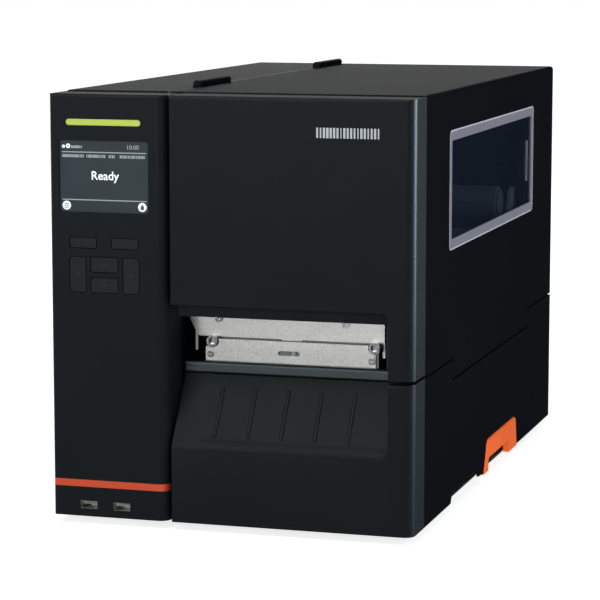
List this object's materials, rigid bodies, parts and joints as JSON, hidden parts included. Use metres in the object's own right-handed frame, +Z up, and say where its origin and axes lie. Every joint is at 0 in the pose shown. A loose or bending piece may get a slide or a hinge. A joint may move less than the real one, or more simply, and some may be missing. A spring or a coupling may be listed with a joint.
{
  "type": "label printer",
  "caption": "Industrial thermal-transfer label printer with a control tower, label outlet, print mechanism and folding media door with window.",
  "frame": {"origin": "middle of the footprint on the surface it stands on", "axes": "+X to the viewer's right, +Y from the front to the back, +Z up"},
  "size_m": [0.276, 0.502, 0.326],
  "materials": {
    "painted_steel": "fine-textured near-black powder coat",
    "chassis_paint": "dark grey painted sheet steel",
    "rubber": "black moulded rubber",
    "front_plastic": "fine-grained charcoal plastic",
    "accent_orange": "orange-red plastic band",
    "handle_orange": "satin orange plastic",
    "light_lime": "translucent lime light pipe",
    "display_glass": "dark smoked display window",
    "display_frame": "dark grey display module",
    "board_green": "green circuit board",
    "bright_steel": "brushed bright steel",
    "polished_steel": "polished steel",
    "aluminium": "satin aluminium",
    "dark_aluminium": "dark anodised aluminium",
    "zinc_sheet": "zinc-plated sheet steel",
    "motor_black": "black painted motor housing",
    "spindle_plastic": "charcoal glass-filled plastic",
    "gear_acetal": "ivory acetal",
    "gear_dark": "black acetal",
    "guide_green": "green plastic touch point",
    "key_plastic": "charcoal key plastic",
    "switch_black": "glossy black rocker",
    "socket_black": "black moulded inlet",
    "window_frame": "frosted light grey plastic",
    "window_clear": "clear tinted polycarbonate",
    "hinge_black": "black painted steel hinge",
    "spring_steel": "bright spring steel",
    "bearing_steel": "ground bearing steel",
    "pin_steel": "plain steel screws",
    "roller_rubber": "dark grey platen rubber",
    "guard_plastic": "light grey plastic"
  },
  "bodies": {
    "chassis": {"base_pan": "chassis_paint", "rubber_feet": "rubber", "center_wall": "chassis_paint", "rear_panel": "painted_steel", "left_cover": "painted_steel", "control_bezel": "front_plastic", "accent_band": "accent_orange", "status_light": "light_lime", "display_module": "display_frame", "display_lens": "display_glass", "control_board": "board_green", "usb_sockets": "bright_steel", "lower_front_cover": "front_plastic", "tear_bar": "dark_aluminium", "platen_bracket": "chassis_paint", "shaft_bearings": "bearing_steel", "stepper_motor": "motor_black", "head_pivot_shaft": "polished_steel", "media_path_plate": "zinc_sheet", "media_spindle": "spindle_plastic", "ribbon_guide_plate": "zinc_sheet", "rewind_motor": "motor_black", "main_board": "board_green", "power_supply": "zinc_sheet", "power_inlet": "socket_black", "interface_ports": "bright_steel", "hinge_leaves_fixed": "hinge_black", "cover_screws": "pin_steel"},
    "platen": {"platen_roller": "roller_rubber", "platen_shaft": "polished_steel", "platen_gear": "gear_dark"},
    "motor_pinion": {"motor_pinion": "gear_dark"},
    "print_head": {"head_bracket": "bright_steel", "head_plate": "bright_steel", "thermal_head": "aluminium", "head_screws": "polished_steel", "pressure_knobs": "handle_orange", "pressure_springs": "spring_steel"},
    "release_lever": {"release_lever": "handle_orange"},
    "ribbon_supply": {"ribbon_supply_spindle": "spindle_plastic"},
    "ribbon_rewind": {"ribbon_rewind_spindle": "spindle_plastic", "rewind_gear": "gear_acetal"},
    "rewind_pinion": {"rewind_pinion": "gear_acetal"},
    "media_guard": {"media_guard": "guard_plastic"},
    "media_guide": {"media_guide": "guide_green"},
    "function_key_left": {"function_key_left": "key_plastic"},
    "function_key_right": {"function_key_right": "key_plastic"},
    "arrow_key_left": {"arrow_key_left": "key_plastic"},
    "arrow_key_right": {"arrow_key_right": "key_plastic"},
    "arrow_key_up": {"arrow_key_up": "key_plastic"},
    "arrow_key_down": {"arrow_key_down": "key_plastic"},
    "power_switch": {"power_switch": "switch_black"},
    "upper_door": {"upper_door_panel": "painted_steel", "upper_front_cover": "front_plastic", "window_frame": "window_frame", "window_pane": "window_clear", "hinge_leaves_moving": "hinge_black", "fold_pivots": "hinge_black"},
    "lower_door": {"lower_door_panel": "painted_steel", "door_handle": "handle_orange"}
  },
  "joints": [
    {"name": "upper_door_hinge", "type": "hinge", "parent": "chassis", "child": "upper_door", "pos_m": [-0.057, 0, 0.323], "axis": [0, -1, 0], "range_deg": [0, 100]},
    {"name": "lower_door_fold", "type": "hinge", "parent": "upper_door", "child": "lower_door", "pos_m": [0.1325, 0.0105, 0.109], "axis": [0, -1, 0], "range_deg": [0, 90]},
    {"name": "platen_spin", "type": "hinge", "parent": "chassis", "child": "platen", "pos_m": [0, -0.203, 0.11], "axis": [1, 0, 0], "continuous": true},
    {"name": "motor_pinion_spin", "type": "hinge", "parent": "chassis", "child": "motor_pinion", "pos_m": [-0.058, -0.17575, 0.10008], "axis": [1, 0, 0], "continuous": true},
    {"name": "print_head_lift", "type": "hinge", "parent": "chassis", "child": "print_head", "pos_m": [0, -0.11, 0.15], "axis": [-1, 0, 0], "range_deg": [0, 25]},
    {"name": "release_lever_turn", "type": "hinge", "parent": "chassis", "child": "release_lever", "pos_m": [0.1145, -0.15, 0.165], "axis": [-1, 0, 0], "range_deg": [0, 75]},
    {"name": "ribbon_supply_spin", "type": "hinge", "parent": "chassis", "child": "ribbon_supply", "pos_m": [0, 0.072, 0.216], "axis": [1, 0, 0], "continuous": true},
    {"name": "ribbon_rewind_spin", "type": "hinge", "parent": "chassis", "child": "ribbon_rewind", "pos_m": [0, -0.075, 0.228], "axis": [1, 0, 0], "continuous": true},
    {"name": "rewind_pinion_spin", "type": "hinge", "parent": "chassis", "child": "rewind_pinion", "pos_m": [-0.067, -0.075, 0.196], "axis": [1, 0, 0], "continuous": true},
    {"name": "media_guard_slide", "type": "slide", "parent": "chassis", "child": "media_guard", "axis": [1, 0, 0], "range_m": [-0.09, 0]},
    {"name": "media_guide_slide", "type": "slide", "parent": "chassis", "child": "media_guide", "axis": [1, 0, 0], "range_m": [-0.1, 0.015]},
    {"name": "function_key_left_press", "type": "slide", "parent": "chassis", "child": "function_key_left", "axis": [0, 1, 0], "range_m": [0, 0.0008], "stiffness_N_per_m": 400},
    {"name": "function_key_right_press", "type": "slide", "parent": "chassis", "child": "function_key_right", "axis": [0, 1, 0], "range_m": [0, 0.0008], "stiffness_N_per_m": 400},
    {"name": "arrow_key_left_press", "type": "slide", "parent": "chassis", "child": "arrow_key_left", "axis": [0, 1, 0], "range_m": [0, 0.0008], "stiffness_N_per_m": 400},
    {"name": "arrow_key_right_press", "type": "slide", "parent": "chassis", "child": "arrow_key_right", "axis": [0, 1, 0], "range_m": [0, 0.0008], "stiffness_N_per_m": 400},
    {"name": "arrow_key_up_press", "type": "slide", "parent": "chassis", "child": "arrow_key_up", "axis": [0, 1, 0], "range_m": [0, 0.0008], "stiffness_N_per_m": 400},
    {"name": "arrow_key_down_press", "type": "slide", "parent": "chassis", "child": "arrow_key_down", "axis": [0, 1, 0], "range_m": [0, 0.0008], "stiffness_N_per_m": 400},
    {"name": "power_switch_rock", "type": "hinge", "parent": "chassis", "child": "power_switch", "pos_m": [-0.075, 0.244, 0.048], "axis": [1, 0, 0], "range_deg": [0, 16]}
  ],
  "couplings": [
    {"joint": "motor_pinion_spin", "follows": "platen_spin", "ratio": -2.2222},
    {"joint": "rewind_pinion_spin", "follows": "ribbon_rewind_spin", "ratio": -3},
    {"joint": "release_lever_turn", "follows": "print_head_lift", "ratio": 3}
  ]
}
